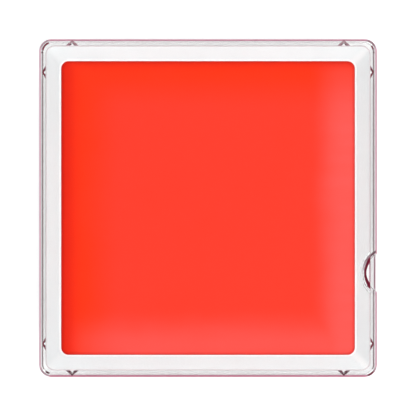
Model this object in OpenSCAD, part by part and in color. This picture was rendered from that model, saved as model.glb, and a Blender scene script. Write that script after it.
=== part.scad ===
/* [Case] */
// Outside width of the lid, the same both ways
case_w = 150; // [120:1:220]
// Radius of the lid's upright corners, seen from above
case_corner_r = 5.5; // [4:0.5:8]
// Height of the air space from the well's rim to the underside of the lid
head_room = 9; // [6:0.5:20]

/* [Base] */
// Thickness of the base's floor
floor_t = 2.2; // [1.6:0.1:3]
// Height of the standing rim under the floor
foot_h = 0.8; // [0.4:0.1:1.5]
// Width of the standing rim
foot_w = 5; // [3:0.5:8]
// How far the base's edge stays inside the lid's face
base_inset = 0.5; // [0:0.1:1]
// Thickness of the upstanding lip
lip_t = 1.6; // [1.2:0.1:2.2]
// Gap between the lip and the inside of the lid's wall
lip_gap = 1.3; // [0.8:0.1:2]
// Radius of the lip's upright corners
lip_corner_r = 4; // [3:0.5:6]

/* [Friction bumps] */
// Width of a bump where it meets the lip
bump_w = 4.4; // [2.5:0.1:6]
// Space left between a bump's crest and the lid's wall
bump_clear = 0.1; // [0.05:0.05:0.3]
// Radius of a bump's crest
bump_crest_r = 0.5; // [0.3:0.1:0.8]
// Distance between the two bumps on one side
bump_span = 120.6; // [60:0.2:126]
// How far a bump stays from the lip's top and from the seal
bump_margin = 1.5; // [0.5:0.1:2.5]

/* [Seal ring] */
// Width of the ring's flat section
seal_w = 1.9; // [1.6:0.1:2.1]
// Thickness of the ring
seal_t = 0.7; // [0.5:0.1:1.5]
// Space between the ring and the lip that it lies round
seal_clear = 0.1; // [0.05:0.05:0.2]

/* [Tray] */
// Thickness of the tray's walls and floor
tray_wall = 1.6; // [1.2:0.1:2.4]
// Space between the tray's edge and the lip's outer face
tray_inset = 0.1; // [0:0.1:0.5]
// Space between the tray's locating skirt and the lip
tray_clear = 0.3; // [0.2:0.1:0.6]
// Height of the tray's outer edge over the lip
tray_edge_h = 3.2; // [2.4:0.1:5]
// Width of the sloping border, from the outer edge to the well's rim
bevel_w = 6; // [5:0.1:10]
// How far the border falls towards the well
bevel_drop = 2.2; // [1:0.1:2.4]
// Radius of the tray's outer top edge
tray_edge_r = 0.4; // [0.2:0.1:0.8]
// Width of the flat rim round the well
rim_w = 0.9; // [0.5:0.1:2]
// Depth of the well under its rim
well_depth = 8.6; // [7:0.1:16]
// Radius of the well's upright corners
well_corner_r = 3.3; // [2:0.1:6]
// Radius of the well's bottom edge, which the pad's follows
well_floor_r = 1.6; // [0.8:0.1:3]
// Depth of the locating skirt inside the lip
skirt_h = 2.6; // [1.5:0.1:5]
// Height of the ribs that the well stands on
rib_h = 1.8; // [1:0.1:4]
// Thickness of those ribs
rib_t = 1.2; // [0.8:0.1:2]
// Number of ribs each way across the well's underside
rib_count = 5; // [2:1:9]

/* [Sponge pad and sheet] */
// Space between the pad and the well's walls
pad_clear = 0.3; // [0.2:0.1:1]
// Thickness of the pad
pad_t = 8.1; // [5:0.1:16]
// Radius of the pad's rolled top edge
pad_roll_r = 1.6; // [1:0.1:4]
// Thickness of the palette sheet
sheet_t = 0.3; // [0.2:0.05:0.5]
// How far the sheet's tucked edge stands out from the pad's side
sheet_clear = 0.1; // [0.05:0.05:0.2]
// How far the sheet's edge is tucked down below the pad's rolled edge
sheet_tuck = 0.6; // [0.4:0.1:2]

/* [Lid] */
// Thickness of the lid's wall and top
shell_t = 1.5; // [1.2:0.1:2.4]
// Radius of the lid's outer top edge
lid_edge_r = 1.2; // [0.4:0.1:1.8]

/* [Finger scoop] */
// Radius of the scoop's open side
scoop_r = 10.1; // [7:0.1:11]
// Distance from the lid's face out to the scoop's centre
scoop_offset = 5.4; // [2:0.1:6]
// Place of the scoop along its side, from the middle
scoop_y = -28.8; // [-40:0.1:40]
// Space between the scoop's wall and the tray's border
scoop_clear = 1; // [0.5:0.1:2]

/* [Hidden] */

// Segments in each quarter of a small rounded edge
edge_steps = 6;
// Overshoot of a cut past the face it opens
cut = 1;
// Least radius of an inner corner
least_r = 0.2;
// Smoothness of upright corners
$fn = 64;

// Half widths, from the outside in
lid_half = case_w / 2;
lid_inner_half = lid_half - shell_t;
base_half = lid_half - base_inset;
lip_half = lid_inner_half - lip_gap;
lip_inner_half = lip_half - lip_t;
tray_half = lip_half - tray_inset;
rim_half = tray_half - bevel_w;
well_half = rim_half - rim_w;
pad_half = well_half - pad_clear;

// Corner radii that follow from a neighbour's
base_corner_r = case_corner_r - base_inset;
tray_corner_r = lip_corner_r - tray_inset;
rim_corner_r = well_corner_r + rim_w;
well_outer_r = well_corner_r + tray_wall;
pad_corner_r = well_corner_r - pad_clear;
skirt_half = lip_inner_half - tray_clear;
skirt_corner_r = lip_corner_r - lip_t - tray_clear;

// Heights, from the bottom up
floor_z = foot_h + floor_t;
seal_top = floor_z + seal_t;
well_under_z = floor_z + rib_h;
well_floor_z = well_under_z + tray_wall;
rim_z = well_floor_z + well_depth;
tray_top = rim_z + bevel_drop;
lip_top = tray_top - tray_edge_h;
pad_top = well_floor_z + pad_t;
sheet_top = pad_top + sheet_t;
lid_inner_top = rim_z + head_room;
lid_top = lid_inner_top + shell_t;

// Points along an arc of radius r about (x, z), from angle a to angle b
function arc(x, z, r, a, b) =
    [for (i = [0:edge_steps]) let (t = a + (b - a) * i / edge_steps) [x + r * cos(t), z + r * sin(t)]];

// Half section of a slab: r wide, from z0 up to z1, with its outer edges rounded
function slab_section(r, z0, z1, under_r, over_r) = concat(
    [[0, z0]],
    under_r > 0 ? arc(r - under_r, z0 + under_r, under_r, -90, 0) : [[r, z0]],
    over_r > 0 ? arc(r - over_r, z1 - over_r, over_r, 0, 90) : [[r, z1]],
    [[0, z1]]
);

// Carries a section round a square with round corners. The section's x runs outward from the corner's centre.
module round_the_square(half, r) {
    straight = half - r;
    for (side = [0:3])
        rotate(90 * side) {
            translate([straight, straight, 0])
                rotate_extrude(angle = 90)
                    children();
            translate([straight, straight, 0])
                rotate([90, 0, 0])
                    linear_extrude(height = 2 * straight)
                        children();
        }
}

// A square slab with round corners and rounded outer edges
module round_slab(half, r, z0, z1, under_r = 0, over_r = 0) {
    straight = half - r;
    round_the_square(half, r)
        polygon(slab_section(r, z0, z1, under_r, over_r));
    translate([-straight, -straight, z0])
        cube([2 * straight, 2 * straight, z1 - z0]);
}

// A shallow funnel between two round-cornered squares of different size
module funnel(low_half, low_r, low_z, high_half, high_r, high_z) {
    sliver = 0.01;
    hull() {
        round_slab(low_half, low_r, low_z, low_z + sliver);
        round_slab(high_half, high_r, high_z, high_z + sliver);
    }
}

// The upright cylinder that every part of the finger scoop is cut with
module scoop_cylinder(r, z0, z1) {
    translate([lid_half + scoop_offset, scoop_y, z0])
        cylinder(r = r, h = z1 - z0);
}

// One friction bump: an upright ridge with a rounded crest and a sloping lead-in at its top
module friction_bump() {
    height = lip_gap - bump_clear;
    root = lip_t / 2;
    z0 = seal_top + bump_margin;
    z1 = lip_top - bump_margin;
    flank = atan2(height, bump_w / 2);
    difference() {
        translate([0, 0, z0])
            linear_extrude(height = z1 - z0)
                polygon(concat(
                    [[-root, -bump_w / 2], [0, -bump_w / 2]],
                    arc(height - bump_crest_r, 0, bump_crest_r, flank - 90, 90 - flank),
                    [[0, bump_w / 2], [-root, bump_w / 2]]
                ));
        translate([0, -bump_w, z1])
            rotate([0, 45, 0])
                cube([2 * height, 2 * bump_w, 2 * height]);
    }
}

// Clear bottom half of the case: floor, standing rim, flange, lip and friction bumps
module base() {
    bottom_edge_r = foot_h / 2;
    root_z = floor_z - floor_t / 2;
    color([0.93, 0.95, 0.96, 0.35]) {
        difference() {
            round_slab(base_half, base_corner_r, 0, floor_z, bottom_edge_r);
            round_slab(base_half - foot_w, base_corner_r, -cut, foot_h);
        }
        round_the_square(lip_half, lip_corner_r)
            polygon(concat(
                [[lip_corner_r - lip_t, root_z], [lip_corner_r, root_z]],
                arc(lip_corner_r - lip_t / 4, lip_top - lip_t / 4, lip_t / 4, 0, 90),
                arc(lip_corner_r - lip_t * 3 / 4, lip_top - lip_t / 4, lip_t / 4, 90, 180)
            ));
        for (side = [0:3], end = [-1, 1])
            rotate(90 * side)
                translate([lip_half, end * bump_span / 2, 0])
                    friction_bump();
    }
}

// Soft clear ring on the flange round the lip, which the lid's wall closes on
module seal_ring() {
    ring_half = lip_half + seal_clear + seal_w;
    ring_corner_r = lip_corner_r + seal_clear + seal_w;
    color([0.9, 0.92, 0.93, 0.5])
        round_the_square(ring_half, ring_corner_r)
            translate([lip_corner_r + seal_clear, floor_z])
                square([seal_w, seal_t]);
}

// White tray: sloping border that hangs on the lip, flat rim, well, locating skirt and ribs
module tray() {
    slope_half = tray_half - tray_edge_r;
    slope_corner_r = tray_corner_r - tray_edge_r;
    skirt_inner_r = max(skirt_corner_r - tray_wall, least_r);
    rib_reach = well_half - well_corner_r;
    color([0.96, 0.96, 0.97]) {
        difference() {
            union() {
                round_slab(tray_half, tray_corner_r, lip_top, tray_top, 0, tray_edge_r);
                round_slab(skirt_half, skirt_corner_r, lip_top - skirt_h, lip_top);
                round_slab(well_half + tray_wall, well_outer_r, well_under_z, lip_top, tray_wall);
            }
            // Hollow between the skirt and the well's wall
            difference() {
                round_slab(skirt_half - tray_wall, skirt_inner_r, lip_top - skirt_h - cut, lip_top);
                round_slab(well_half + tray_wall, well_outer_r, lip_top - skirt_h - 2 * cut, lip_top + cut);
            }
            // Slope of the border
            funnel(rim_half, rim_corner_r, rim_z, slope_half, slope_corner_r, tray_top);
            // Well
            round_slab(well_half, well_corner_r, well_floor_z, tray_top + cut, well_floor_r);
            // Clearance round the lid's finger scoop
            scoop_cylinder(scoop_r + shell_t + scoop_clear, lip_top - skirt_h - cut, tray_top + cut);
        }
        for (turn = [0, 90], i = [0:rib_count - 1])
            rotate(turn)
                translate([-rib_reach + 2 * rib_reach * i / (rib_count - 1), 0, floor_z + rib_h / 2])
                    cube([rib_t, 2 * rib_reach, rib_h], center = true);
    }
}

// Absorbent pad that fills the well, with a soft rolled top edge
module sponge_pad() {
    color([1, 0.2, 0.14])
        round_slab(pad_half, pad_corner_r, well_floor_z, pad_top, well_floor_r, pad_roll_r);
}

// Thin palette sheet that lies on the pad with its edge tucked down all round
module palette_sheet() {
    outer_half = pad_half + sheet_clear;
    outer_corner_r = pad_corner_r + sheet_clear;
    foot_z = pad_top - pad_roll_r - sheet_tuck;
    color([1, 0.35, 0.28, 0.6])
        difference() {
            round_slab(outer_half, outer_corner_r, foot_z, sheet_top, 0, pad_roll_r);
            round_slab(pad_half, pad_corner_r, foot_z - cut, pad_top, 0, pad_roll_r);
        }
}

// Clear cover: flat top, straight walls and a finger scoop whose wall bends inward
module lid() {
    outer_r = case_corner_r;
    inner_r = case_corner_r - shell_t;
    scoop_wall_z = lip_top + tray_clear;
    clear_of_lip = lip_half + tray_clear;
    color([0.93, 0.95, 0.96, 0.3])
        difference() {
            union() {
                difference() {
                    round_slab(lid_half, outer_r, seal_top, lid_top, 0, lid_edge_r);
                    round_slab(lid_inner_half, inner_r, seal_top - cut, lid_inner_top, 0, shell_t / 3);
                }
                // The scoop's wall, short over the lip and full depth outside it
                intersection() {
                    round_slab(lid_half, outer_r, seal_top, lid_top, 0, lid_edge_r);
                    scoop_cylinder(scoop_r + shell_t, seal_top, lid_top);
                    union() {
                        translate([0, -lid_half, scoop_wall_z])
                            cube([lid_half, case_w, lid_top]);
                        translate([clear_of_lip, -lid_half, seal_top])
                            cube([lid_half, case_w, lid_top]);
                    }
                }
            }
            scoop_cylinder(scoop_r, seal_top - cut, lid_top + cut);
        }
}

base();
seal_ring();
tray();
sponge_pad();
palette_sheet();
lid();
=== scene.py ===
import bmesh
import bpy
import numpy as np
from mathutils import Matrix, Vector


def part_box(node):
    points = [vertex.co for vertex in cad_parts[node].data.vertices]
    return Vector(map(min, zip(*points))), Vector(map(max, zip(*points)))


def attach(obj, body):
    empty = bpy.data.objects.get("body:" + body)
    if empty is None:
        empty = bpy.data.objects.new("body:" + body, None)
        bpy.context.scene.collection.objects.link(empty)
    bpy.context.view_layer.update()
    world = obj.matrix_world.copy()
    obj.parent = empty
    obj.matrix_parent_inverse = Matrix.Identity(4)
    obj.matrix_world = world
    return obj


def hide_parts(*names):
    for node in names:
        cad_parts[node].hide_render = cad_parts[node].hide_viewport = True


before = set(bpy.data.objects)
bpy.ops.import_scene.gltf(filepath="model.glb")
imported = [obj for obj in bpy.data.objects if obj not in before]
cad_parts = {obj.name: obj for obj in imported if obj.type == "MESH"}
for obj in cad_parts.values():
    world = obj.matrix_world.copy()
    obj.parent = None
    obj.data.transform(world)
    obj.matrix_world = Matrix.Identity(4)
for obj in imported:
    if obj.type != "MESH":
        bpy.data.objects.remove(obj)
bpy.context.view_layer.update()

# ---------------------------------------------------------------- base
# The bottom half of the case, injection moulded in clear polystyrene: a floor on a standing rim, a flange
# that carries the seal and the lid, and a lip with two friction bumps a side, polished all over.
mm = 0.001
base_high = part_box("base")[1]
base_half = base_high[0]
base_corner = 5.0 * mm
flange_z = 3.0 * mm
recess_z = 0.8 * mm
standing_width = 5.0 * mm
recess_half = base_half - standing_width
recess_edge = 0.15 * mm
foot_edge = 0.4 * mm
flange_edge = 0.25 * mm
lip_half = 72.2 * mm
lip_corner = 4.0 * mm
lip_wall = 1.6 * mm
lip_edge = 0.4 * mm
lip_top = base_high[2]
bump_height = 1.2 * mm
bump_width = 4.4 * mm
bump_crest = 0.5 * mm
bump_place = 60.3 * mm
bump_low = 5.2 * mm
bump_high = 12.5 * mm
scoop_x = 80.4 * mm
scoop_y = -28.8 * mm
scoop_open = 10.1 * mm
least_corner = 0.3 * mm
weld = 0.0001 * mm
round_steps = 10


def turned(x, y, quarter):
    """Points (x, y) turned by so many quarter turns about the upright axis."""
    c = np.array([1, 0, -1, 0])[quarter]
    s = np.array([0, 1, 0, -1])[quarter]
    return c * x - s * y, s * x + c * y


def square_path(half, corner, along, corner_steps=round_steps, push=0.0):
    """Plan of a round-cornered square, one row for each (half, corner).

    Each side runs from -1 to 1 through the values in along, and its corner follows:
    (s + r cos a + push, u s + r sin a), with s = half - r, turned to each side in turn.
    """
    angle = np.linspace(0, np.pi / 2, corner_steps + 1)[1:-1]
    u = np.concatenate([along, np.ones(len(angle))])
    a = np.concatenate([np.zeros(len(along)), angle])
    s, r = (half - corner)[:, None], corner[:, None]
    x = s + r * np.cos(a) + push
    y = u * s + r * np.sin(a)
    sides = [turned(x, y, quarter) for quarter in range(4)]
    return [np.concatenate(part, axis=1) for part in zip(*sides)]


def fillet(x, z, r, start, end, steps=5):
    """An arc of radius r about (x, z) from angle start to end, in degrees, as rows (x, z)."""
    t = np.radians(np.linspace(start, end, steps + 1))
    return np.stack([x + r * np.cos(t), z + r * np.sin(t)], axis=1)


def beside(half, corner, *parts):
    """Rows (half width, z, corner radius) from parts of a section, each row parallel to one square."""
    rows = np.concatenate([np.reshape(part, (-1, 2)) for part in parts])
    return np.column_stack([rows, np.maximum(corner + rows[:, 0] - half, least_corner)])


def skin(x, y, z, capped=True):
    """The points and faces of a closed surface, from a grid of points.

    Rows follow the section with the solid on their left, and columns run round the path. Points that
    coincide become one, the quad between each four neighbours keeps its distinct corners, and the
    first and last rows are filled in.
    """
    points = np.stack(np.broadcast_arrays(x, y, z), axis=-1).reshape(-1, 3)
    spots, grid = np.unique(np.round(points / weld), axis=0, return_inverse=True)
    grid = grid.reshape(x.shape)
    after = np.roll(grid, -1, axis=1)
    quads = np.stack([grid[:-1], after[:-1], after[1:], grid[1:]], axis=-1).reshape(-1, 4)
    distinct = quads != np.roll(quads, -1, axis=1)
    unfolded = (quads[:, 0] != quads[:, 2]) & (quads[:, 1] != quads[:, 3])
    corners = distinct.sum(axis=1) * unfolded
    triangles = quads[corners == 3][distinct[corners == 3]].reshape(-1, 3)
    faces = quads[corners == 4].tolist() + triangles.tolist()
    if capped:
        ends = (grid[0, ::-1], grid[-1])
        faces += [end[end != np.roll(end, -1)].tolist() for end in ends]
    return spots * weld, faces


def made(name, *shells, crisp=35, even=True):
    """An object of one or more closed shells, shaded smooth apart from edges sharper than crisp degrees.

    even keeps a flat face flat beside its rounded edge, by weighing each corner's light by area.
    """
    whole = bmesh.new()
    for points, faces in shells:
        part = bpy.data.meshes.new(name)
        part.from_pydata(points.tolist(), [], faces)
        whole.from_mesh(part)
        bpy.data.meshes.remove(part)
    mesh = bpy.data.meshes.new(name)
    whole.to_mesh(mesh)
    whole.free()
    mesh.shade_smooth()
    mesh.set_sharp_from_angle(angle=np.radians(crisp))
    piece = bpy.data.objects.new(name, mesh)
    bpy.context.scene.collection.objects.link(piece)
    if even:
        piece.modifiers.new("even_faces", "WEIGHTED_NORMAL").keep_sharp = True
    return piece


class Tone:
    """One output of a material's nodes, with arithmetic written as Python."""

    def __init__(self, paint, socket):
        self.paint, self.socket = paint, socket

    def maths(self, operation, *values):
        return self.paint.node("ShaderNodeMath", {"operation": operation}, dict(enumerate(values)))

    def __add__(self, other):
        return self.maths("ADD", self, other)

    def __radd__(self, other):
        return self.maths("ADD", other, self)

    def __sub__(self, other):
        return self.maths("SUBTRACT", self, other)

    def __rsub__(self, other):
        return self.maths("SUBTRACT", other, self)

    def __mul__(self, other):
        return self.maths("MULTIPLY", self, other)

    def __rmul__(self, other):
        return self.maths("MULTIPLY", other, self)

    def __pow__(self, other):
        return self.maths("POWER", self, other)

    def __abs__(self):
        return self.maths("ABSOLUTE", self)

    def at_least(self, other):
        """The greater of two values."""
        return self.maths("MAXIMUM", self, other)

    def at_most(self, other):
        """The lesser of two values."""
        return self.maths("MINIMUM", self, other)

    def ramp(self, low, high, start=0.0, end=1.0):
        """start below low, end above high, and a smooth rise between them."""
        settings = {"interpolation_type": "SMOOTHSTEP"}
        values = {"Value": self, "From Min": low, "From Max": high, "To Min": start, "To Max": end}
        return self.paint.node("ShaderNodeMapRange", settings, values)


class Paint:
    """A material made of nodes, or the studio's own light."""

    def __init__(self, name, owner=None):
        self.owner = owner or bpy.data.materials.new(name)
        self.owner.use_nodes = True
        self.tree = self.owner.node_tree
        self.tree.nodes.clear()

    def node(self, kind, settings=None, values=None, out=0):
        """Adds a node, sets it up, and fills its inputs with values or other nodes' outputs."""
        node = self.tree.nodes.new(kind)
        for key, value in (settings or {}).items():
            setattr(node, key, value)
        for key, value in (values or {}).items():
            if isinstance(value, Tone):
                self.tree.links.new(value.socket, node.inputs[key])
            else:
                node.inputs[key].default_value = value
        return Tone(self, node.outputs[out] if len(node.outputs) else None)

    def place(self):
        """Object coordinates, in metres."""
        return self.node("ShaderNodeTexCoord", out="Object")

    def axis(self, name):
        """One of the object coordinates: X, Y or Z."""
        return self.node("ShaderNodeSeparateXYZ", {}, {"Vector": self.place()}, out=name)

    def girth(self, straight):
        """Half width of the square through a point, with its corners rounded about (straight, straight)."""
        x = (abs(self.axis("X")) - straight).at_least(0)
        y = (abs(self.axis("Y")) - straight).at_least(0)
        return (x * x + y * y)**0.5 + straight

    def reach(self, x, y):
        """Distance in plan from the upright line through (x, y)."""
        along, across = self.axis("X") - x, self.axis("Y") - y
        return (along * along + across * across)**0.5

    def noise(self, scale, detail=2.0, roughness=0.5, stretch=(1, 1, 1)):
        """Fractal noise with features about 1 / scale metres wide."""
        where = self.node("ShaderNodeMapping", {}, {"Vector": self.place(), "Scale": stretch})
        values = {"Vector": where, "Scale": scale, "Detail": detail, "Roughness": roughness}
        return self.node("ShaderNodeTexNoise", {}, values, out="Fac")

    def bump(self, height, strength, depth):
        """A normal tilted by a height map whose full range is so deep."""
        return self.node("ShaderNodeBump", {}, {"Height": height, "Strength": strength, "Distance": depth})

    def blend(self, factor, first, second):
        """A colour between two others."""
        return self.node("ShaderNodeMix", {"data_type": "RGBA"}, {0: factor, 6: first, 7: second}, out=2)

    def surface(self, **values):
        """The shader of a solid, with its sockets' names written with underscores."""
        return self.node("ShaderNodeBsdfPrincipled", {}, {k.replace("_", " "): v for k, v in values.items()})

    def lit_through(self, body, tint):
        """A clear body that the lamps' light passes straight through."""
        through = self.node("ShaderNodeBsdfTransparent", {}, {"Color": tint})
        lamp = self.node("ShaderNodeLightPath", out="Is Shadow Ray")
        return self.node("ShaderNodeMixShader", {}, {0: lamp, 1: body, 2: through})

    def finish(self, shader):
        """The material, with the shader on its surface."""
        self.node("ShaderNodeOutputMaterial", {}, {"Surface": shader})
        return self.owner


def bump_rise(u):
    """Height of a friction bump at u across its width: two straight flanks and a round crest."""
    flank = np.arctan2(bump_height, bump_width / 2)
    from_middle = np.abs(u)
    straight = bump_height * (1 - from_middle / (bump_width / 2))
    crest = bump_height - bump_crest + np.sqrt(np.maximum(bump_crest**2 - from_middle**2, 0))
    return np.clip(np.where(from_middle < bump_crest * np.sin(flank), crest, straight), 0, None)


crest_step = 0.15 * mm
flank_places = np.linspace(2 * crest_step, bump_width / 2, 5)
over_bump = np.concatenate([-flank_places[::-1], [-crest_step, 0, crest_step], flank_places])
lip_straight = lip_half - lip_corner
between_bumps = np.linspace(-45, 45, 7) * mm
side_places = np.concatenate([
    [-lip_straight], over_bump - bump_place, between_bumps, over_bump + bump_place, [lip_straight],
])
rise = bump_rise(side_places + bump_place) + bump_rise(side_places - bump_place)
rise = np.append(rise, np.zeros(round_steps - 1))
lead_in = bump_height * np.linspace(1, 0, 5)

underside = beside(
    recess_half, base_corner,
    (recess_half - 2 * recess_edge, recess_z),
    fillet(recess_half - recess_edge, recess_z - recess_edge, recess_edge, 90, 0, 3),
    fillet(recess_half + recess_edge, recess_edge, recess_edge, 180, 270, 3),
)
rim = beside(
    base_half, base_corner,
    fillet(base_half - foot_edge, foot_edge, foot_edge, -90, 0),
    fillet(base_half - flange_edge, flange_z - flange_edge, flange_edge, 0, 90, 4),
)
lip = beside(
    lip_half, lip_corner,
    (lip_half, flange_z),
    (lip_half, bump_low),
    (lip_half, bump_low),
    [(lip_half, bump_high - rise_left) for rise_left in lead_in],
    fillet(lip_half - lip_edge, lip_top - lip_edge, lip_edge, 0, 90),
    fillet(lip_half - lip_wall + lip_edge, lip_top - lip_edge, lip_edge, 90, 180),
    fillet(lip_half - lip_wall - flange_edge, flange_z + flange_edge, flange_edge, 0, -90, 4),
    (lip_half - lip_wall - 2 * flange_edge, flange_z),
)
half, height, corner = np.concatenate([underside, rim, lip]).T
allowed = np.zeros(len(half))
bump_row = len(underside) + len(rim) + 2
allowed[bump_row] = bump_height
allowed[bump_row + 1:bump_row + 1 + len(lead_in)] = lead_in
push = np.minimum(rise, allowed[:, None])
x, y = square_path(half, corner, side_places / lip_straight, push=push)
base = made("clear_base", skin(x, y, height[:, None]))


def band(value, middle, width):
    """1 in a stripe so wide round the middle value, with soft edges."""
    return abs(value - middle).ramp(0.35 * width, 0.65 * width, 1.0, 0.0)


styrene_index = 1.58
water_clear = (0.985, 0.99, 0.99, 1)
lamp_tint = (0.97, 0.97, 0.97, 1)


def clear_polystyrene(paint, lines):
    """Polished clear plastic, with painted reflections of the red pad and the dark room on its edges.

    lines is a list of (mask, colour), each drawn over those before it.
    """
    scuff = paint.noise(scale=900, detail=3).ramp(0.45, 0.75, start=0.0, end=0.03)
    body = paint.surface(Base_Color=water_clear, Roughness=scuff, IOR=styrene_index, Transmission_Weight=1.0)
    cover, shade = lines[0]
    for mask, colour in lines[1:]:
        shade = paint.blend(mask, shade, colour)
        cover = cover.at_least(mask)
    painted_reflections = paint.surface(Base_Color=shade, Roughness=0.5, Specular_IOR_Level=0.05)
    whole = paint.node("ShaderNodeMixShader", {}, {0: cover, 1: body, 2: painted_reflections})
    return paint.finish(paint.lit_through(whole, lamp_tint))


# Colours of the painted reflections on the clear plastic's edges: rose and wine for the red pad's light,
# smoke and near black for the dark room.
rose_edge = (1.0, 0.66, 0.78, 1)
deep_rose_edge = (0.70, 0.25, 0.36, 1)
wine_edge = (0.20, 0.013, 0.038, 1)
dark_wine_edge = (0.075, 0.006, 0.018, 1)
smoke_edge = (0.20, 0.15, 0.15, 1)
smoke_wine_edge = (0.17, 0.075, 0.10, 1)
corner_edge = (0.20, 0.045, 0.08, 1)
flange_rose_edge = (0.26, 0.07, 0.12, 1)
open_flange_edge = (0.46, 0.16, 0.25, 1)
open_lip_edge = (0.42, 0.13, 0.21, 1)
soft = 0.15 * mm
lip_end_width = 2.1 * mm
lip_end_lean = 0.12
flank_line = 0.5 * mm
flank_lean = 0.84


def outermost(girth, half, width):
    """1 in the outer rim, so wide, of a square of that half width."""
    return girth.ramp(half - width, half - width + soft)


paint = Paint("clear_polystyrene_base")
x_out, y_out, z_up = abs(paint.axis("X")), abs(paint.axis("Y")), paint.axis("Z")
# The flange's and lip's outer edges carry painted rose reflections of the red pad's light.
flange_girth = paint.girth(base_half - base_corner)
lip_girth = paint.girth(lip_straight)
under_seal = z_up.ramp(flange_z + 0.2 * mm, flange_z + 0.1 * mm)
on_flange = z_up.ramp(flange_z - 0.5 * mm, flange_z - 0.3 * mm) * under_seal
down_flange = z_up.ramp(flange_z - 1.2 * mm, flange_z - mm) * under_seal
on_lip = z_up.ramp(lip_top - lip_edge - 0.1 * mm, lip_top - lip_edge)

# The lip carries two painted dark reflections beside the lid's scoop, and broader painted edge lines show
# through the opening.
from_scoop = paint.reach(scoop_x, scoop_y)
from_scoop = from_scoop + abs(paint.axis("Y") - scoop_y) * lip_end_lean
lip_end_far = scoop_open + lip_end_width
lip_wine_marks = from_scoop.ramp(scoop_open - 0.1 * mm, scoop_open + soft)
lip_wine_marks = lip_wine_marks * from_scoop.ramp(lip_end_far, lip_end_far - 0.3 * mm)
in_scoop = from_scoop.ramp(scoop_open + 0.6 * mm, scoop_open + 0.3 * mm) * paint.axis("X").ramp(0, mm)

# A bump's two flanks are painted dark where they meet the lid's wall, a painted reflection.
past_lip = x_out.at_least(y_out) - lip_half
flank = past_lip + abs(x_out.at_most(y_out) - bump_place) * flank_lean
flank = flank.ramp(bump_height - flank_line, bump_height - flank_line / 2)
bump_foot = bump_high - bump_height
on_bump = past_lip.ramp(-0.1 * mm, 0.1 * mm) * z_up.ramp(bump_foot - 0.2 * mm, bump_foot)
base.data.materials.append(clear_polystyrene(paint, [
    (outermost(flange_girth, base_half, 0.5 * mm) * on_flange * 0.95, flange_rose_edge),
    (outermost(flange_girth, base_half, 0.8 * mm) * down_flange * in_scoop, open_flange_edge),
    (lip_girth.ramp(lip_half - 0.3 * mm, lip_half - 0.1 * mm) * on_lip * 0.7, deep_rose_edge),
    (outermost(lip_girth, lip_half, 0.55 * mm) * on_lip * in_scoop, open_lip_edge),
    (flank * on_bump, dark_wine_edge),
    (lip_wine_marks * on_lip, wine_edge),
]))
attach(base, "base")
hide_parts("base")

# ---------------------------------------------------------------- seal ring
# A flat ring of frosted clear silicone, die cut, that lies on the flange round the foot of the lip.
# The lid's wall closes on it, which keeps the sponge from drying out.
seal_low, seal_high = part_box("seal_ring")
seal_half = seal_high[0]
seal_width = 1.9 * mm
seal_inner = seal_half - seal_width
seal_corner = 6.0 * mm
seal_edge = 0.15 * mm
seat_gap = 0.02 * mm
seal_foot = seal_low[2] + seat_gap
seal_top = seal_high[2] - seat_gap
section = beside(
    seal_half, seal_corner,
    fillet(seal_half - seal_edge, seal_foot + seal_edge, seal_edge, -90, 0, 3),
    fillet(seal_half - seal_edge, seal_top - seal_edge, seal_edge, 0, 90, 3),
    fillet(seal_inner + seal_edge, seal_top - seal_edge, seal_edge, 90, 180, 3),
    fillet(seal_inner + seal_edge, seal_foot + seal_edge, seal_edge, 180, 270, 3),
)
half, height, corner = np.append(section, section[:1], axis=0).T
even_side = np.linspace(-1, 1, 9)
x, y = square_path(half, corner, even_side)
seal = made("silicone_seal", skin(x, y, height[:, None], capped=False), crisp=50)

silicone_index = 1.41
silicone = (0.98, 0.98, 0.98, 1)
shaded_silicone = (0.88, 0.88, 0.88, 1)
silicone_tint = (0.9, 0.9, 0.9, 1)
paint = Paint("frosted_silicone")
frost = paint.noise(scale=400, detail=3).ramp(0.3, 0.7, start=0.3, end=0.45)

# Along the near and right sides it lies in the shade, and looks a little greyer.
far_left = paint.axis("Y").ramp(-seal_inner, mm - seal_inner)
far_left = far_left * paint.axis("X").ramp(seal_inner, seal_inner - mm)
shade = paint.blend(far_left, shaded_silicone, silicone)
body = paint.surface(Base_Color=shade, Roughness=frost, IOR=silicone_index, Transmission_Weight=0.9)
seal.data.materials.append(paint.finish(paint.lit_through(body, silicone_tint)))
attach(seal, "base")
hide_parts("seal_ring")

# ---------------------------------------------------------------- tray
# The white tray, moulded in opaque ABS with a satin gloss: a border that falls to a flat rim round the
# well, a skirt that locates it inside the lip, and ribs under the well. It hangs on the lip's top.
tray_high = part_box("tray")[1]
tray_half = tray_high[0]
tray_corner = 3.9 * mm
tray_top = tray_high[2]
tray_edge = 0.4 * mm
tray_wall = 1.6 * mm
hang_z = lip_top + seat_gap
border_width = 6.0 * mm
border_fall = 2.2 * mm
slope_half = tray_half - tray_edge
rim_half = tray_half - border_width
rim_z = tray_top - border_fall
rim_width = 0.9 * mm
well_half = rim_half - rim_width
well_corner = 3.3 * mm
well_edge = 0.25 * mm
well_floor_edge = 1.6 * mm
well_floor_z = 6.4 * mm
well_under_z = 4.8 * mm
well_outside = well_half + tray_wall
floor_half = well_half - 3.0 * mm
skirt_half = 70.3 * mm
skirt_inner = skirt_half - tray_wall
skirt_corner = 2.1 * mm
skirt_depth = 2.6 * mm
skirt_foot = lip_top - skirt_depth
rib_thick = 1.2 * mm
rib_foot = flange_z + seat_gap
rib_top = well_under_z + 0.2 * mm
# Height from which the well's wall is painted red, up to the rim, for the pad's red light thrown on it.
red_bounce_z = 12.3 * mm
rib_places = (well_half - well_corner) * np.linspace(-1, 1, 5)
notch_r = 12.6 * mm


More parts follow.
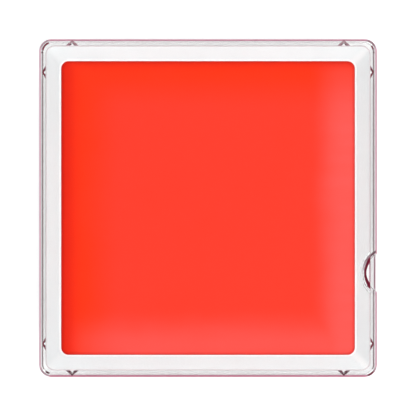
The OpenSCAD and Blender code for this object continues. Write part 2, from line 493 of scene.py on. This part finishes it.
def scooped_path(half, corner, reach, part_x, straight=6, end=3, middle=24, corner_steps=round_steps):
    """Plan of a round-cornered square with a round bite in its right side.

    There is one row for each (half, corner, reach). A row whose side lies within reach of the
    scoop's centre follows (scoop_x - reach cos a, scoop_y + reach sin a) there. Any other row runs
    straight past, level with the widest bite. The bite has two ends and a middle, which part at
    part_x with a doubled point. Returns x, y and the columns of the bite and of its middle.
    """
    h, r, reach = half[:, None], corner[:, None], reach[:, None]
    s = h - r
    cosine = (scoop_x - h) / reach
    bites = cosine < 1
    wall = np.arccos(np.clip(cosine, -1, 1))
    widest = np.argmax(reach * np.sin(wall))
    wall = np.where(bites, wall, wall[widest])
    reach = np.where(bites, reach, reach[widest])
    part = np.minimum(np.arccos(np.clip((scoop_x - part_x) / reach, -1, 1)), wall)
    e = np.linspace(0, 1, end + 1)
    m = np.linspace(-1, 1, middle + 1)
    angle = np.concatenate([-wall + (wall - part) * e, part * m, part + (wall - part) * e], axis=1)
    bite_x = np.where(bites, scoop_x - reach * np.cos(angle), h)
    bite_y = scoop_y + reach * np.sin(angle)
    low, high = bite_y[:, :1], bite_y[:, -1:]
    up = np.linspace(0, 1, straight + 1)
    a = np.linspace(0, np.pi / 2, corner_steps + 1)[1:-1]
    plain_x, plain_y = square_path(half, corner, even_side, corner_steps)
    quarter = plain_x.shape[1] // 4
    x = [h + 0 * up, bite_x, h + 0 * up, s + r * np.cos(a), plain_x[:, quarter:]]
    y = [-s + (low + s) * up, bite_y, high + (s - high) * up, s + r * np.sin(a), plain_y[:, quarter:]]
    bite = slice(straight + 1, straight + 1 + angle.shape[1])
    core = slice(bite.start + end + 1, bite.stop - end - 1)
    return np.concatenate(x, axis=1), np.concatenate(y, axis=1), bite, core


def lattice(places, thick, low, high):
    """A square grid of crossed ribs as one closed shell.

    The edges of the ribs rule the plan into cells, and a cell is solid where either of its two
    strips is a rib. Each solid cell has a floor and a roof, and a wall towards each open neighbour.
    """
    lines = np.sort(np.concatenate([places - thick / 2, places + thick / 2]))
    count = len(lines)
    line_x, line_y, level = np.meshgrid(lines, lines, [low, high], indexing="ij")
    points = np.stack([line_x, line_y, level], axis=-1).reshape(-1, 3)
    strip = np.arange(count - 1) % 2 == 0
    solid = strip[:, None] | strip[None, :]
    padded = np.pad(solid, 1)
    i, j = np.nonzero(solid)

    def corner_of(i, j, k):
        return (i * count + j) * 2 + k

    def face(i, j, *steps):
        return np.stack([corner_of(i + a, j + b, k) for a, b, k in steps], axis=-1).tolist()

    faces = face(i, j, (0, 0, 0), (0, 1, 0), (1, 1, 0), (1, 0, 0))
    faces += face(i, j, (0, 0, 1), (1, 0, 1), (1, 1, 1), (0, 1, 1))
    walls = {
        (1, 0): ((1, 0), (1, 1)),
        (-1, 0): ((0, 1), (0, 0)),
        (0, 1): ((1, 1), (0, 1)),
        (0, -1): ((0, 0), (1, 0)),
    }
    for (a, b), (first, second) in walls.items():
        bare = ~padded[i + 1 + a, j + 1 + b]
        faces += face(i[bare], j[bare], (*first, 0), (*second, 0), (*second, 1), (*first, 1))
    return points, faces


well_under = beside(
    well_outside, well_corner + tray_wall,
    (floor_half, well_under_z),
    fillet(well_outside - well_floor_edge, well_under_z + well_floor_edge, well_floor_edge, -90, 0, 6),
    (well_outside, hang_z),
)
skirt = beside(
    skirt_half, skirt_corner,
    [(skirt_inner, hang_z), (skirt_inner, skirt_foot), (skirt_half, skirt_foot), (skirt_half, hang_z)],
)
edge = beside(
    tray_half, tray_corner,
    (tray_half, hang_z),
    fillet(slope_half, tray_top - tray_edge, tray_edge, 0, 90),
)
well = beside(
    well_half, well_corner,
    (rim_half, rim_z),
    fillet(well_half + well_edge, rim_z - well_edge, well_edge, 90, 180, 4),
    fillet(well_half - well_floor_edge, well_floor_z + well_floor_edge, well_floor_edge, 0, -90, 6),
    (floor_half, well_floor_z),
)
half, height, corner = np.concatenate([well_under, skirt, edge, well]).T
edge_rows = len(well_under) + len(skirt) + np.arange(len(edge))
reach = np.full(len(half), notch_r)
reach[edge_rows] += tray_half - half[edge_rows]
x, y, bite, core = scooped_path(half, corner, reach, part_x=skirt_inner)
z = np.repeat(height[:, None], x.shape[1], axis=1)
skirt_rows = len(well_under) + np.arange(len(skirt))
z[skirt_rows, core] = hang_z

# The border's slope is ruled between the plan of its outer edge, which the notch bites, and the rim's.
outer, inner = edge_rows[-1], edge_rows[-1] + 1
share = np.linspace(0, 1, 9)[1:-1, None]
slope_x = x[outer] + (x[inner] - x[outer]) * share
slope_y = y[outer] + (y[inner] - y[outer]) * share
slope_z = z[outer] + (z[inner] - z[outer]) * share


def on_slope(x):
    """Height of the border at x on its right side, where it rises evenly from the rim to the edge."""
    return rim_z + border_fall * np.clip((x - rim_half) / (slope_half - rim_half), 0, 1)


slope_z[:, bite] = on_slope(slope_x[:, bite])
z[edge_rows[1:], bite] -= tray_top - on_slope(x[outer, bite])
x = np.insert(x, [inner], slope_x, axis=0)
y = np.insert(y, [inner], slope_y, axis=0)
z = np.insert(z, [inner], slope_z, axis=0)
tray = made("white_tray", skin(x, y, z), lattice(rib_places, rib_thick, rib_foot, rib_top))

black = (0, 0, 0, 1)
white = (1.0, 1.0, 1.0, 1)
border_white = (0.796, 0.85, 0.856, 1)
border_pale = (0.812, 0.865, 0.87, 1)
# Painted light: the rim's highlight, the outline's shade, and the pad's red light on the top of the well's
# wall.
rim_highlight = (0.96, 0.97, 0.97, 1)
outline_shade_grey = (0.68, 0.62, 0.64, 1)
red_bounce = (0.85, 0.02, 0.008, 1)
side_shade = 0.06
paint = Paint("white_satin_plastic")
ripple = paint.noise(scale=35).ramp(0.3, 0.7)
grain = paint.noise(scale=2600, detail=3, roughness=0.6)
well_girth = paint.girth(well_half - well_corner)
shade = paint.blend(ripple, border_white, border_pale)

# Painted shade darkens the border's left and right sides, and a painted highlight lightens its mitres, more
# towards the right.
from_mitre = abs(paint.axis("X")) - abs(paint.axis("Y"))
shade = paint.blend(from_mitre.ramp(-2.5 * mm, 2.5 * mm) * side_shade, shade, black)
mitre_highlight = abs(from_mitre).ramp(0.5 * mm, 3.5 * mm, start=1.0, end=0.0)
mitre_highlight = mitre_highlight * paint.axis("X").ramp(-mm, mm, start=0.15, end=0.45)
shade = paint.blend(mitre_highlight, shade, white)

# A painted highlight makes the rim a bright white band, painted shade makes the outer edge grey, and the top
# of the well's wall is painted red for the pad's red light thrown on it.
rim_band = band(well_girth, (well_half + rim_half) / 2, rim_width)
shade = paint.blend(rim_band, shade, rim_highlight)
outer_edge = paint.girth(tray_half - tray_corner).ramp(tray_half - 0.65 * mm, tray_half - 0.3 * mm)
shade = paint.blend(outer_edge, shade, outline_shade_grey)
in_well = well_girth.ramp(well_half + 0.08 * mm, well_half + 0.04 * mm)
red_bounce_band = in_well * paint.axis("Z").ramp(red_bounce_z - 0.3 * mm, red_bounce_z + 0.3 * mm)
shade = paint.blend(red_bounce_band, shade, red_bounce)
satin = grain.ramp(0.3, 0.7, start=0.3, end=0.4)
texture = paint.bump(grain, strength=0.08, depth=0.02 * mm)
tray.data.materials.append(paint.finish(paint.surface(Base_Color=shade, Roughness=satin, Normal=texture)))
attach(tray, "tray")
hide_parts("tray")

# ---------------------------------------------------------------- sponge pad
# The absorbent pad: fine-pored red foam cut to the well, its top edge rolled by the soaking and its
# top crowned, since the wet edges settle.
pad_low, pad_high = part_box("sponge_pad")
pad_half = pad_high[0]
pad_corner = 3.0 * mm
pad_roll = 1.6 * mm
pad_top = pad_high[2]
edge_fall = 0.15 * mm
edge_power = 8
least_round = 0.15
inward = np.array([0.96, 0.93, 0.9, 0.86, 0.8, 0.7, 0.6, 0.45, 0.3, 0.15, 0.05])


def settled(x, y):
    """How far the wet surface sinks at (x, y): evenly flat in the middle, and steeper towards each edge."""
    return edge_fall * ((np.abs(x) / pad_half)**edge_power + (np.abs(y) / pad_half)**edge_power)


def nested(rows, steps=33, corner_steps=12):
    """Plan of rows (half, z) as squares inside one another, whose corners shrink with them."""
    half, height = np.concatenate([np.reshape(part, (-1, 2)) for part in rows]).T
    corner = np.clip(pad_corner - (pad_half - half), least_round * half, pad_corner)
    x, y = square_path(half, corner, np.linspace(-1, 1, steps), corner_steps)
    return x, y, height[:, None]


x, y, z = nested([
    [(pad_half * k, pad_low[2]) for k in inward[::-1]],
    fillet(pad_half - well_floor_edge, pad_low[2] + well_floor_edge, well_floor_edge, -90, 0),
    fillet(pad_half - pad_roll, pad_top - pad_roll, pad_roll, 0, 90, 10),
    [(pad_half * k, pad_top) for k in inward],
])
pad = made("sponge_pad_foam", skin(x, y, z - settled(x, y) * (z > pad_top - pad_roll)), crisp=60, even=False)

pore_red = (0.80, 0.012, 0.006, 1)
foam_red = (0.93, 0.028, 0.014, 1)
paint = Paint("soaked_red_foam")
cells = paint.noise(scale=1500, detail=3, roughness=0.6)
colour = paint.blend(cells.ramp(0.35, 0.65), pore_red, foam_red)
damp = cells.ramp(0.3, 0.7, start=0.45, end=0.6)
pores = paint.bump(cells, strength=0.5, depth=0.15 * mm)
pad.data.materials.append(paint.finish(paint.surface(Base_Color=colour, Roughness=damp, Normal=pores)))
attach(pad, "pad")
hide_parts("sponge_pad")

# ---------------------------------------------------------------- palette sheet
# The sheet that the paint lies on: a thin wet membrane laid over the pad, its edge tucked down all
# round. Soaked, it clings to the foam and lets its red show through with a satin sheen.
sheet_low, sheet_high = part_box("palette_sheet")
sheet_half = well_half - seat_gap
sheet_roll = 0.45 * mm
under_roll = 0.15 * mm
sheet_top = sheet_high[2]
sheet_foot = sheet_low[2]
under_z = pad_top + seat_gap
under_half = pad_half + seat_gap
outside_roll = fillet(sheet_half - sheet_roll, sheet_top - sheet_roll, sheet_roll, 0, 90, 12)
inside_roll = fillet(under_half - under_roll, under_z - under_roll, under_roll, 90, 0, 12)
x, y, z = nested([
    [(pad_half * k, under_z) for k in inward[::-1]],
    inside_roll,
    [(under_half, sheet_foot), (sheet_half, sheet_foot)],
    outside_roll,
    [(pad_half * k, sheet_top) for k in inward],
], steps=49)
sheet = made("palette_sheet_membrane", skin(x, y, z - settled(x, y)), crisp=60, even=False)

membrane_index = 1.33
# The reds: its own, a paler one for a patch at the far left, one for painted sheen, and two for painted
# shade.
clinging_red = (0.98, 0.032, 0.002, 1)
far_left_red = (1.0, 0.043, 0.020, 1)
sheen_red = (1.0, 0.105, 0.092, 1)
left_far_shade_red = (0.76, 0.012, 0.0, 1)
tuck_shade_red = (0.55, 0.008, 0.0, 1)
wander_reach = 6 * mm
paint = Paint("wet_membrane")
x_in, y_in = paint.axis("X"), paint.axis("Y")
fine = paint.noise(scale=1900, detail=4, roughness=0.65)
slow = paint.noise(scale=45, detail=3, roughness=0.55)
streak = paint.noise(scale=200, detail=3, roughness=0.6, stretch=(0.12, 1, 1))
wander = (slow - 0.5) * wander_reach

# Painted sheen makes it paler along the right and near sides, in faint streaks. Painted shade darkens it at
# the left and far sides, and all round where its edge tucks down, most at the left.
painted_sheen = (x_in + wander).ramp(sheet_half - 20 * mm, sheet_half - 5 * mm)
painted_sheen = painted_sheen * y_in.ramp(sheet_half - 30 * mm, sheet_half, start=1.0, end=0.35)
along_near = x_in.ramp(-sheet_half, -sheet_half + 30 * mm, start=0.2, end=0.75)
painted_sheen = painted_sheen.at_least((wander - y_in).ramp(sheet_half - 21 * mm, sheet_half - 4 * mm) * along_near)
# It is a little paler over a patch towards the far left corner, whose edges wander.
far_left_patch = (x_in + wander).ramp(-58 * mm, -38 * mm) * (y_in + wander).ramp(62 * mm, 42 * mm)
left_far_shade = x_in.ramp(-sheet_half + 10 * mm, -sheet_half + 0.5 * mm)
left_far_shade = left_far_shade.at_least(y_in.ramp(sheet_half - 5 * mm, sheet_half - 0.5 * mm, start=0.0, end=0.6))
tuck_shade = paint.girth(well_half - well_corner).ramp(sheet_half - 1.8 * mm, sheet_half - 0.2 * mm)
tuck_shade = tuck_shade * x_in.ramp(-sheet_half + 1.5 * mm, -sheet_half + 3 * mm, start=0.9, end=0.45)
colour = paint.blend(far_left_patch + (slow - 0.5) * 0.4, clinging_red, far_left_red)
colour = paint.blend(painted_sheen * (0.85 + (streak - 0.5) * 0.5), colour, sheen_red)
colour = paint.blend(left_far_shade, colour, left_far_shade_red)
colour = paint.blend(tuck_shade, colour, tuck_shade_red)
sheet.data.materials.append(paint.finish(paint.surface(
    Base_Color=colour, Roughness=fine.ramp(0.3, 0.7, start=0.32, end=0.42), IOR=membrane_index,
    Specular_IOR_Level=0.3, Normal=paint.bump(fine, strength=0.25, depth=0.05 * mm))))
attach(sheet, "sheet")
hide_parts("palette_sheet")
flat_side = 2 * (sheet_half - sheet_roll) + np.pi * sheet_roll + 2 * (sheet_top - sheet_roll - sheet_foot)

# ---------------------------------------------------------------- lid
# The clear cover, moulded in the same polystyrene: a flat top on a straight wall, and a finger scoop on
# the right whose wall bends inward and stops just over the lip. It grips the lip's bumps by friction.
lid_low, lid_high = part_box("lid")
lid_half = lid_high[0]
lid_top = lid_high[2]
lid_wall = 1.5 * mm
lid_corner = 5.5 * mm
lid_edge = 1.2 * mm
lid_edge_steps = 8
lid_foot = lid_low[2] + seat_gap
inner_half = lid_half - lid_wall
inner_edge = 0.5 * mm
ceiling = lid_top - lid_wall
scoop_edge = 0.35 * mm
scoop_foot = lip_top + 0.3 * mm
lip_clear_x = lip_half + 0.3 * mm
inside = beside(
    inner_half, lid_corner - lid_wall,
    fillet(inner_half - inner_edge, ceiling - inner_edge, inner_edge, 90, 0),
    [(inner_half, scoop_foot), (inner_half, lid_foot)],
)
outside = beside(
    lid_half, lid_corner,
    [(lid_half, lid_foot), (lid_half, scoop_foot)],
    fillet(lid_half - lid_edge, lid_top - lid_edge, lid_edge, 0, 90, lid_edge_steps),
)
half, height, corner = np.concatenate([inside, outside]).T
is_outside = np.arange(len(half)) >= len(inside)
reach = np.where(is_outside, scoop_open + (lid_half - half) * scoop_edge / lid_edge,
                 scoop_open + lid_wall + inner_half - half)
x, y, bite, core = scooped_path(
    half, corner, reach, part_x=lip_clear_x, straight=8, end=4, middle=32, corner_steps=12)
z = np.repeat(height[:, None], x.shape[1], axis=1)
z[:, core] = np.maximum(z[:, core], scoop_foot)

# Along the scoop's mouth its own small edge radius grows out of the rounded top edge.
rounded = len(inside) + 2 + np.arange(lid_edge_steps + 1)
past_edge = np.clip(x[rounded, bite] - (lid_half - lid_edge), 0, lid_edge)
edge_top = lid_top - lid_edge + np.sqrt(lid_edge**2 - past_edge**2)
grown = np.clip((half[rounded, None] - x[rounded, bite]) / lid_edge, 0, 1)
z[rounded, bite] = edge_top - grown * (lid_top - height[rounded, None]) * scoop_edge / lid_edge
lid = made("clear_lid", skin(x, y, z))

paint = Paint("clear_polystyrene_lid")
x_in, y_in, z_up = paint.axis("X"), paint.axis("Y"), paint.axis("Z")
x_out, y_out = abs(x_in), abs(y_in)
lid_straight = lid_half - lid_corner
girth = paint.girth(lid_straight)
on_top = z_up.ramp(lid_top - lid_edge - 0.1 * mm, lid_top - lid_edge)
corner_sides = {0: y_out - lid_straight, 1: x_out - lid_straight}
bend = paint.node("ShaderNodeMath", {"operation": "ARCTAN2"}, corner_sides)
degree = np.pi / 180
fade = 5


def round_corner(start, end):
    """1 between two angles round each corner: 0 faces the left or right side, and 90 the far or near one."""
    past_start = bend.ramp((start - fade) * degree, (start + fade) * degree)
    return past_start * bend.ramp((end + fade) * degree, (end - fade) * degree)


def at_corner(right, far):
    """1 in one quarter of the top: right and far are 1 or -1."""
    return (x_in * right).ramp(0, mm) * (y_in * far).ramp(0, mm)


def ring(half, width):
    """1 in a line so wide that runs round the top along a square of that half width."""
    return band(girth, half, width) * on_top


# The rounded edge carries painted rose reflections of the red pad's light, darker in its middle along the
# far and near sides. Inside it the wall is painted as a smoky line at the left and right, and as wine or
# nearly black lines in the corners, reflections of the dark room.
edge_middle = lid_half - lid_edge / 2
wall_face = inner_half - 0.1 * mm
thin_line = 0.5 * mm
broad_line = 0.8 * mm
outline = girth.ramp(lid_half - 1.0 * mm, lid_half - 0.75 * mm) * on_top
far_or_near = round_corner(80, 185)
near_side = far_or_near * y_in.ramp(mm, -mm)
right_side = round_corner(-185, 10) * x_in.ramp(-mm, mm)
in_corner = bend.ramp(5 * degree, 35 * degree) * bend.ramp(88 * degree, 65 * degree)
to_right = x_in.ramp(-mm, mm, start=0.75, end=1.0)
wall_line = band(girth - x_in.ramp(-mm, mm, start=0.0, end=0.09 * mm), wall_face, thin_line) * on_top

# The scoop's wall is painted wine over the lip, a painted reflection. Its upper edge is painted smoky, and
# fades towards the near side.
from_scoop = paint.reach(scoop_x, scoop_y)
scoop_outer = scoop_open + lid_wall
scoop_wall = from_scoop.ramp(scoop_outer - 0.3 * mm, scoop_outer - 0.6 * mm) * on_top
scoop_line = band(from_scoop, scoop_outer, broad_line) * on_top
scoop_horn = band(from_scoop, scoop_outer - 0.45 * mm, 0.9 * mm) * on_top
over_lip = x_in.ramp(lip_half + 0.1 * mm, lip_half - 0.3 * mm)
short_of_side = x_in.ramp(lid_half - 0.35 * mm, lid_half - 0.65 * mm)
uphill = (y_in - scoop_y).ramp(-mm, 5 * mm, start=0.15, end=1.0)

# Each friction bump presses on the wall, and its reflection is painted on the top as two dark lines that
# meet in a point.
sideways = (x_out - y_out).ramp(-mm, mm)
tip = (x_out - y_out).ramp(-mm, mm, start=inner_half + 0.25 * mm, end=inner_half - 0.35 * mm)
arms = abs(x_out.at_most(y_out) - bump_place) + (girth - tip) * (1.2 + 0.7 * sideways)
cut_off = girth.ramp(inner_half - 1.5 * mm, inner_half - 1.3 * mm)
bump_reflection_lines = band(arms, 0.25 * mm, 1.3 * mm) * cut_off * on_top
near_mark = (0.0 - y_in - x_out).ramp(-mm, mm)
lid.data.materials.append(clear_polystyrene(paint, [
    (outline * (1.0 - 0.4 * in_corner), rose_edge),
    (outline * near_side, deep_rose_edge),
    (ring(edge_middle, thin_line) * far_or_near * 0.75, deep_rose_edge),
    (ring(lid_half - 0.2 * mm, thin_line) * right_side * 0.5, deep_rose_edge),
    (ring(edge_middle, 0.42 * mm) * in_corner * to_right, corner_edge),
    (wall_line * round_corner(-200, 30) * 0.95, smoke_edge),
    (ring(wall_face, broad_line) * round_corner(8, 74) * at_corner(-1, 1), wine_edge),
    (ring(inner_half, broad_line) * round_corner(-10, -2) * y_in.ramp(-mm, mm), dark_wine_edge),
    (ring(wall_face, broad_line) * round_corner(12, 40) * at_corner(1, 1), wine_edge),
    (ring(wall_face, broad_line) * round_corner(50, 78) * at_corner(-1, -1), dark_wine_edge),
    (ring(inner_half + 0.4 * mm, 0.45 * mm) * near_side * 0.3, smoke_edge),
    (ring(edge_middle, 0.7 * mm) * round_corner(40, 75) * at_corner(1, -1), wine_edge),
    (scoop_wall * over_lip, wine_edge),
    (scoop_line * over_lip * uphill * 0.8, smoke_wine_edge),
    (scoop_horn * (1.0 - over_lip) * short_of_side * uphill, smoke_wine_edge),
    (bump_reflection_lines * (0.78 + 0.22 * sideways), wine_edge),
    (bump_reflection_lines * near_mark * 0.9, dark_wine_edge),
]))
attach(lid, "lid")
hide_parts("lid")

# ---------------------------------------------------------------- table, lamps and camera
# A plain white table under four large soft lamps, and a camera straight overhead. The studio's walls
# are white to look at and in reflections, give little light, and end below a dark ceiling.
table_reach = 3.0
table_gap = 0.2 * mm
table_white = (0.92, 0.92, 0.92, 1)
table_corners = [(x * table_reach, y * table_reach, 0) for x, y in [(-1, -1), (1, -1), (1, 1), (-1, 1)]]
table_mesh = bpy.data.meshes.new("table")
table_mesh.from_pydata(table_corners, [], [(0, 1, 2, 3)])
table = bpy.data.objects.new("table", table_mesh)
bpy.context.scene.collection.objects.link(table)
paint = Paint("white_table")
table_mesh.materials.append(paint.finish(paint.surface(
    Base_Color=table_white, Roughness=0.6, Emission_Color=white, Emission_Strength=0.5)))
table.location.z = -table_gap


def softbox(name, place, size, power):
    """A square lamp that faces the object."""
    light = bpy.data.lights.new(name, "AREA")
    light.shape, light.size, light.energy = "SQUARE", size, power
    lamp = bpy.data.objects.new(name, light)
    lamp.location = place
    lamp.rotation_euler = (Vector((0, 0, 0)) - Vector(place)).to_track_quat("-Z", "Y").to_euler()
    bpy.context.scene.collection.objects.link(lamp)


softbox("near_softbox", place=(0.15, -0.9, 0.75), size=0.7, power=5.55)
softbox("far_softbox", place=(0.0, 0.95, 0.8), size=0.7, power=4.65)
softbox("right_softbox", place=(0.95, -0.1, 0.7), size=0.6, power=2.6)
softbox("left_softbox", place=(-0.95, 0.1, 0.7), size=0.6, power=2.75)

wall_top = 0.45
ceiling_start = 0.7
mirrored_light = 0.6
own_light = 0.06
world = bpy.data.worlds.new("studio")
room = Paint("studio", world)
seen = room.node("ShaderNodeLightPath", out="Is Camera Ray")
glossy = room.node("ShaderNodeLightPath", out="Is Glossy Ray")
through = room.node("ShaderNodeLightPath", out="Is Transmission Ray")
direction = room.node("ShaderNodeTexCoord", out="Generated")
upward = room.node("ShaderNodeSeparateXYZ", {}, {"Vector": direction}, out="Z")
mirrored = glossy.at_least(through) * upward.ramp(wall_top, ceiling_start, start=mirrored_light, end=0.0)
strength = seen.at_least(mirrored).ramp(0, 1, start=own_light, end=1.0)
glow = room.node("ShaderNodeBackground", {}, {"Color": white, "Strength": strength})
room.node("ShaderNodeOutputWorld", {}, {"Surface": glow})
bpy.context.scene.world = world
bpy.context.scene.view_settings.view_transform = "Standard"

image_pixels = 416
case_pixels = 338
sensor_width = 36
distance = 8.0
camera_data = bpy.data.cameras.new("camera")
camera_data.sensor_width = sensor_width
camera_data.lens = sensor_width * distance / (2 * lid_half * image_pixels / case_pixels)
camera = bpy.data.objects.new("camera", camera_data)
camera.location = (0, 0, lid_top + distance)
bpy.context.scene.collection.objects.link(camera)
bpy.context.scene.camera = camera
